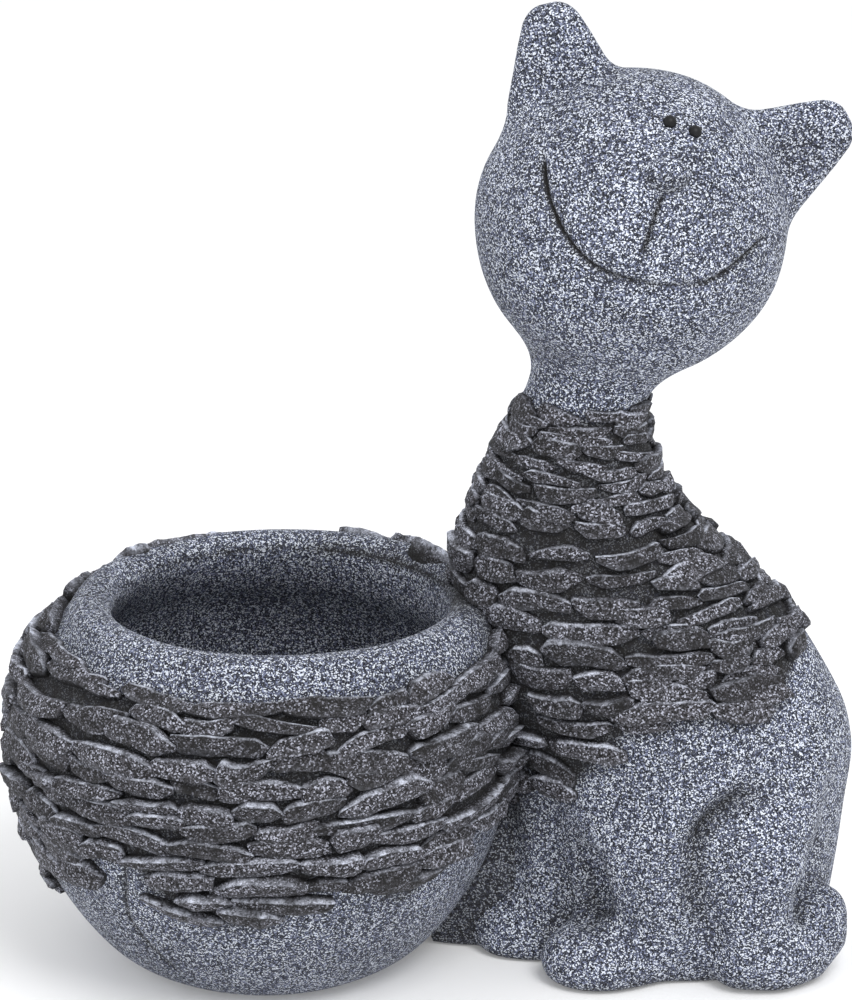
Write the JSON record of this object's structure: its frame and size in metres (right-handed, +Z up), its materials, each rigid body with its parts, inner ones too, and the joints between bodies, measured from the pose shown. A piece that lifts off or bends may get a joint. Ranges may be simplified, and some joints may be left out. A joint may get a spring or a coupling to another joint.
{
  "type": "cat figurine with planter bowl",
  "caption": "Smiling garden cat figurine sitting beside a round open planter bowl, granite-look casting with bands of split slate chips.",
  "frame": {"origin": "middle of the bounding box's underside, on the ground the figurine stands on", "axes": "+Z up through the head, -X towards the bowl, which is where the cat's body faces, and -Y towards the side that the face and tail are on"},
  "size_m": [0.348, 0.213, 0.3962],
  "materials": {
    "granite": "matte, speckled with fine white and dark grains",
    "slate": "rough split faces with a dark wash and lighter dry-brushed edges",
    "bead": "black, slightly glossy"
  },
  "bodies": {
    "root": {"base_web": "granite", "bowl_slates_01": "slate", "bowl_slates_02": "slate", "bowl_slates_03": "slate", "bowl_slates_04": "slate", "bowl_slates_05": "slate", "bowl_slates_06": "slate", "bowl_slates_07": "slate", "bowl_slates_08": "slate", "bowl_slates_09": "slate", "bowl_slates_10": "slate", "bowl_slates_11": "slate", "ear_left": "granite", "ear_right": "granite", "eye_left": "bead", "eye_right": "bead", "foreleg_far": "granite", "foreleg_near": "granite", "head": "granite", "hind_leg_far": "granite", "hind_leg_near": "granite", "planter_bowl": "granite", "tail": "granite", "torso": "granite", "torso_slates_01a": "slate", "torso_slates_01b": "slate", "torso_slates_02a": "slate", "torso_slates_02b": "slate", "torso_slates_03a": "slate", "torso_slates_03b": "slate", "torso_slates_05a": "slate", "torso_slates_05b": "slate", "torso_slates_06a": "slate", "torso_slates_06b": "slate", "torso_slates_07a": "slate", "torso_slates_07b": "slate", "torso_slates_08a": "slate", "torso_slates_08b": "slate", "torso_slates_09": "slate", "torso_slates_10": "slate", "torso_slates_11": "slate", "torso_slates_12": "slate", "torso_slates_13": "slate", "torso_slates_14": "slate", "torso_slates_15": "slate", "torso_slates_16": "slate", "torso_slates_17": "slate"}
  },
  "joints": []
}
